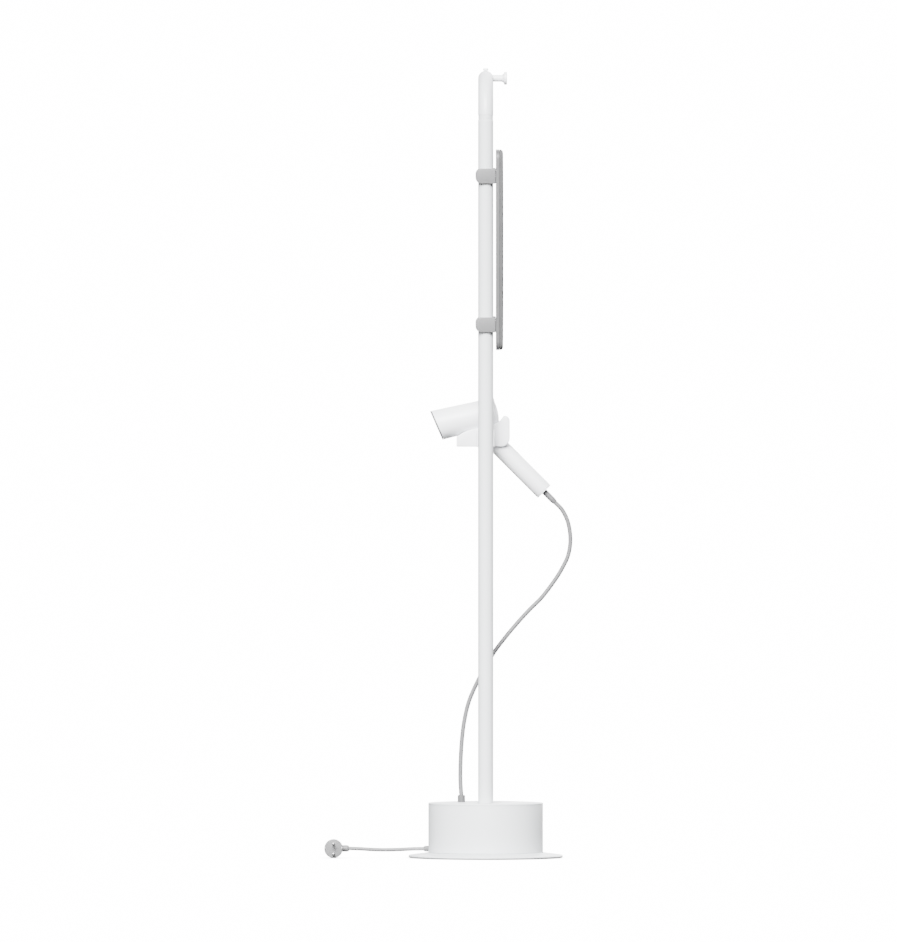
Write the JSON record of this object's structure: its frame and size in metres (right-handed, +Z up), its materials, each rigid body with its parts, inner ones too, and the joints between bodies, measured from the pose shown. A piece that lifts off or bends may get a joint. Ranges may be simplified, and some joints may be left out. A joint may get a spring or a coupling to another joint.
{
  "type": "garment steamer",
  "caption": "Floor-standing garment steamer: round water base, arched tube stand, sliding pressing board, hanger peg, and a steam hand piece in a fork with its hose and mains cord.",
  "frame": {"origin": "centre of the foot ring's underside, where the base stands on the floor", "axes": "+Z up; +X to the front, the side of the pressing board and the hanger peg; +Y to the object's left. The hand piece, its handle and the hose lie in the plane y = 0"},
  "size_m": [0.4604, 0.288, 1.4635],
  "materials": {
    "white_paint": "satin white powder coat",
    "base_plastic": "fine-grained white moulding, the paint's colour",
    "white_plastic": "fine-grained white moulding",
    "grey_plastic": "satin grey moulding",
    "board_fabric": "plain-woven heat-resistant cover",
    "dark_plastic": "dark grey moulding",
    "hose_grey": "smooth grey hose",
    "cord_grey": "smooth grey sheath",
    "plug_grey": "moulded grey plug",
    "foot_rubber": "matt black",
    "clear_plastic": "translucent",
    "circuit_green": "solder-masked board",
    "steel": "brushed",
    "cast_aluminium": "as cast",
    "pin_metal": "nickel plated"
  },
  "bodies": {
    "stand": {"base_plate": "white_paint", "base_shell": "base_plastic", "bow_spigot_left": "steel", "bow_spigot_right": "steel", "circuit_board": "circuit_green", "feed_pipe": "clear_plastic", "flap_pin": "steel", "foot_ring": "foot_rubber", "fork_screw_left": "steel", "fork_screw_right": "steel", "hand_piece_fork": "white_plastic", "hanger_peg": "white_plastic", "hose_collar": "grey_plastic", "leg_bolt_left": "steel", "leg_bolt_right": "steel", "leg_left": "white_paint", "leg_right": "white_paint", "leg_socket_left": "cast_aluminium", "leg_socket_right": "cast_aluminium", "mains_cord": "cord_grey", "mains_gland": "dark_plastic", "peg_lock_screw": "white_plastic", "plug_body": "plug_grey", "plug_pin_lower": "pin_metal", "plug_pin_upper": "pin_metal", "power_switch": "dark_plastic", "pump": "dark_plastic", "shell_screw_1": "steel", "shell_screw_2": "steel", "shell_screw_3": "steel", "shell_screw_4": "steel", "steam_hose": "hose_grey", "top_bow": "white_paint", "top_cover": "base_plastic", "water_tank": "clear_plastic"},
    "board": {"board_tray": "grey_plastic", "board_pad": "board_fabric", "clip_lower_left": "grey_plastic", "clip_lower_right": "grey_plastic", "clip_screw_lower_left": "steel", "clip_screw_lower_right": "steel", "clip_screw_upper_left": "steel", "clip_screw_upper_right": "steel", "clip_upper_left": "grey_plastic", "clip_upper_right": "grey_plastic"},
    "hand_piece": {"barrel_shell": "white_plastic", "mouth_ring": "dark_plastic", "steam_plate": "steel", "rear_cap": "white_plastic", "steam_chamber": "cast_aluminium", "handle_shell": "white_plastic", "handle_end_cap": "white_plastic", "hose_relief": "dark_plastic", "steam_pipe": "clear_plastic", "steam_switch": "dark_plastic"},
    "trigger": {"steam_button": "grey_plastic"},
    "power": {"power_button": "grey_plastic"},
    "filler_lid": {"filler_flap": "white_plastic"}
  },
  "joints": [
    {"name": "board_slide", "type": "slide", "parent": "stand", "child": "board", "axis": [0, 0, 1], "range_m": [-0.04, 0.075]},
    {"name": "hand_piece_lift", "type": "slide", "parent": "stand", "child": "hand_piece", "axis": [-0.2267, 0, 0.974], "range_m": [0, 0.08]},
    {"name": "steam_button_press", "type": "slide", "parent": "hand_piece", "child": "trigger", "axis": [-0.7071, 0, -0.7071], "range_m": [0, 0.0018], "stiffness_N_per_m": 800, "springref_m": -0.0005},
    {"name": "power_button_press", "type": "slide", "parent": "stand", "child": "power", "axis": [-1, 0, 0], "range_m": [0, 0.0025], "stiffness_N_per_m": 800, "springref_m": -0.0005},
    {"name": "filler_flap_hinge", "type": "hinge", "parent": "stand", "child": "filler_lid", "pos_m": [0.0305, 0, 0.1012], "axis": [0, -1, 0], "range_deg": [0, 95]}
  ]
}
